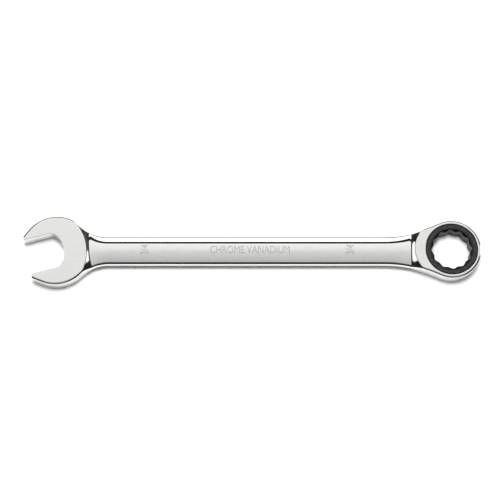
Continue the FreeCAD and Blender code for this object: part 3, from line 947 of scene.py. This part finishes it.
class WRENCH_OT_ratchet_set(bpy.types.Operator):
    """Finish the gear, the snap ring, the pawl, the plunger and its spring"""

    bl_idname = "wrench.ratchet_set"
    bl_label = "Ratchet set"

    def execute(self, context):
        finish = context.scene.wrench_finish
        spring = worked_steel("oiled_spring_steel", finish.spring, 3.0, 0.15, 0.22, 0.38)
        hardened = worked_steel("hardened_pawl_steel", finish.pawl, 0.2, 1.5, 0.3, 0.48)
        finishes = {
            "ratchet_gear": black_phosphate(finish), "retaining_ring": spring, "pawl": hardened,
            "spring_plunger": hardened,
        }
        for node, material in finishes.items():
            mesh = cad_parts[node].data
            mesh.materials.clear()
            mesh.materials.append(material)
        coil = new_piece("coiled_spring", coil_mesh(spring), "wrench", spring)
        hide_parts("pawl_spring")
        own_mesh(coil)
        return {"FINISHED"}


# ---------------------------------------------------------------- studio

# Brightness of the studio by angle from straight up, in degrees. The front of the wrench is negative.
LIGHT_BANDS = (
    (-90, 0.02), (-49, 0.02), (-47, 0.25), (-42, 0.25), (-40, 0.02), (-31, 0.02), (-29, 0.55),
    (-18, 0.64), (-4, 0.74), (7, 0.82), (16, 0.98), (24, 1.04), (31, 1.1), (36.5, 1.15),
    (37.5, 0.02), (44, 0.02), (45.5, 2.2), (60, 2.2), (63, 0.06), (90, 0.06),
)

# Brightness at the studio's two ends, by compass angle in degrees from +X: a strip light at each.
END_LIGHTS = (
    (-180, 1.3), (-170, 1.3), (-168, 0.02), (4, 0.02), (6, 1.3), (22, 1.3), (24, 0.1), (90, 0.1),
    (100, 0.02), (145, 0.02), (147, 1.3), (180, 1.3),
)

# How far a direction leans along X, as a share, where the walls and then their strip lights take over.
END_WALLS_FROM = 0.42
END_WALLS_FULL = 0.5
END_LIGHTS_FROM = 0.62
END_LIGHTS_FULL = 0.7
END_GAP = 0.04

# The floor's lamp: how far behind the wrench and how high it stands, and how wide it is, in metres.
LAMP_BEHIND = 0.32
LAMP_HEIGHT = 2.0
LAMP_SIZE = 0.7


def light_by_angle(tree, over, under, half_turn, levels):
    """The light's brightness by the angle between two parts of its direction, out to half_turn each way."""
    angle = add_node(tree, "ShaderNodeMath", {"operation": "ARCTAN2"}, i0=over, i1=under)
    limit = math.radians(half_turn)
    across = add_node(tree, "ShaderNodeMapRange", Value=angle.outputs[0], From_Min=-limit, From_Max=limit)
    stops = [((degrees + half_turn) / (2 * half_turn), grey(level)) for degrees, level in levels]
    return add_node(tree, "ShaderNodeValToRGB", {"stops": stops}, Fac=across.outputs[0]).outputs["Color"]


def studio_light():
    """A wide softbox overhead, a bright backdrop past a dark gap, a dark front and dark end walls."""
    world = bpy.data.worlds.new("studio_light")
    world.use_nodes = True
    tree = world.node_tree
    tree.nodes.clear()
    direction = add_node(tree, "ShaderNodeTexCoord").outputs["Generated"]
    x, y, z = add_node(tree, "ShaderNodeSeparateXYZ", Vector=direction).outputs
    bands = light_by_angle(tree, y, z, 90, LIGHT_BANDS)
    ends = light_by_angle(tree, y, x, 180, END_LIGHTS)
    sideways = add_node(tree, "ShaderNodeMath", {"operation": "ABSOLUTE"}, i0=x).outputs[0]
    share = add_node(tree, "ShaderNodeMapRange", Value=sideways, From_Min=END_WALLS_FROM,
                     From_Max=END_WALLS_FULL).outputs[0]
    lit = add_node(tree, "ShaderNodeMapRange", Value=sideways, From_Min=END_LIGHTS_FROM,
                   From_Max=END_LIGHTS_FULL).outputs[0]
    walls = add_node(tree, "ShaderNodeMix", {"data_type": "RGBA"}, i0=lit, i6=grey(END_GAP),
                     i7=ends).outputs[2]
    light = add_node(tree, "ShaderNodeMix", {"data_type": "RGBA"}, i0=share, i6=bands, i7=walls).outputs[2]
    background = add_node(tree, "ShaderNodeBackground", Color=light)
    add_node(tree, "ShaderNodeOutputWorld", Surface=background.outputs[0])
    return world


class WRENCH_OT_stage(bpy.types.Operator):
    """Set up the floor, the light and the camera"""

    bl_idname = "wrench.stage"
    bl_label = "Stage"

    def execute(self, context):
        settings = context.scene.wrench_stage
        bpy.ops.mesh.primitive_plane_add(size=settings.floor_size, location=(0, 0, body_low.z))
        floor = context.object
        floor.name = "studio_floor"
        floor.data.materials.append(seamless_paper(context.scene.wrench_finish))

        context.scene.world = studio_light()
        context.scene.view_settings.view_transform = "Standard"
        fill = bpy.data.lights.new("paper_fill", "AREA")
        fill.size = LAMP_SIZE
        fill.energy = settings.fill
        lamp = bpy.data.objects.new("paper_fill", fill)
        lamp.location = (body_low.x / 2, LAMP_BEHIND, LAMP_HEIGHT)
        lamp.rotation_euler = (-math.atan2(lamp.location.y, lamp.location.z), 0, 0)
        lamp.visible_glossy = False
        context.scene.collection.objects.link(lamp)

        middle = Vector(((body_low.x + body_high.x) / 2 + mm(CAMERA_AIM[0]), mm(CAMERA_AIM[1]), 0))
        direction = Vector((0, -math.cos(settings.elevation), math.sin(settings.elevation)))
        data = bpy.data.cameras.new("camera")
        data.lens = settings.lens
        data.sensor_width = 36.0
        data.clip_start = 0.01
        camera = bpy.data.objects.new("camera", data)
        context.scene.collection.objects.link(camera)
        camera.location = middle + direction * settings.distance
        camera.rotation_euler = (math.pi / 2 - settings.elevation, 0, 0)
        context.scene.camera = camera
        return {"FINISHED"}


class WRENCH_PT_panel(bpy.types.Panel):
    """Lists the steps that dress the wrench, and its sizes and colours"""

    bl_label = "Wrench"
    bl_space_type = "VIEW_3D"
    bl_region_type = "UI"
    bl_category = "Wrench"

    def draw(self, context):
        for operator in OPERATORS:
            self.layout.operator(operator.bl_idname)
        for name in SETTINGS:
            group = getattr(context.scene, name)
            for key in group.bl_rna.properties.keys():
                if key not in ("rna_type", "name"):
                    self.layout.prop(group, key)


SETTINGS = {
    "wrench_forging": ForgingSettings,
    "wrench_marks": MarkSettings,
    "wrench_finish": FinishSettings,
    "wrench_stage": StageSettings,
}
OPERATORS = (WRENCH_OT_forged_body, WRENCH_OT_ratchet_set, WRENCH_OT_stage)
CLASSES = (*SETTINGS.values(), *OPERATORS, WRENCH_PT_panel)


def register():
    for cls in CLASSES:
        bpy.utils.register_class(cls)
    for name, group in SETTINGS.items():
        setattr(bpy.types.Scene, name, bpy.props.PointerProperty(type=group))


def unregister():
    for name in SETTINGS:
        delattr(bpy.types.Scene, name)
    for cls in reversed(CLASSES):
        bpy.utils.unregister_class(cls)


def main():
    register()
    bpy.ops.wrench.forged_body()
    bpy.ops.wrench.ratchet_set()
    bpy.ops.wrench.stage()


if __name__ == "__main__":
    main()
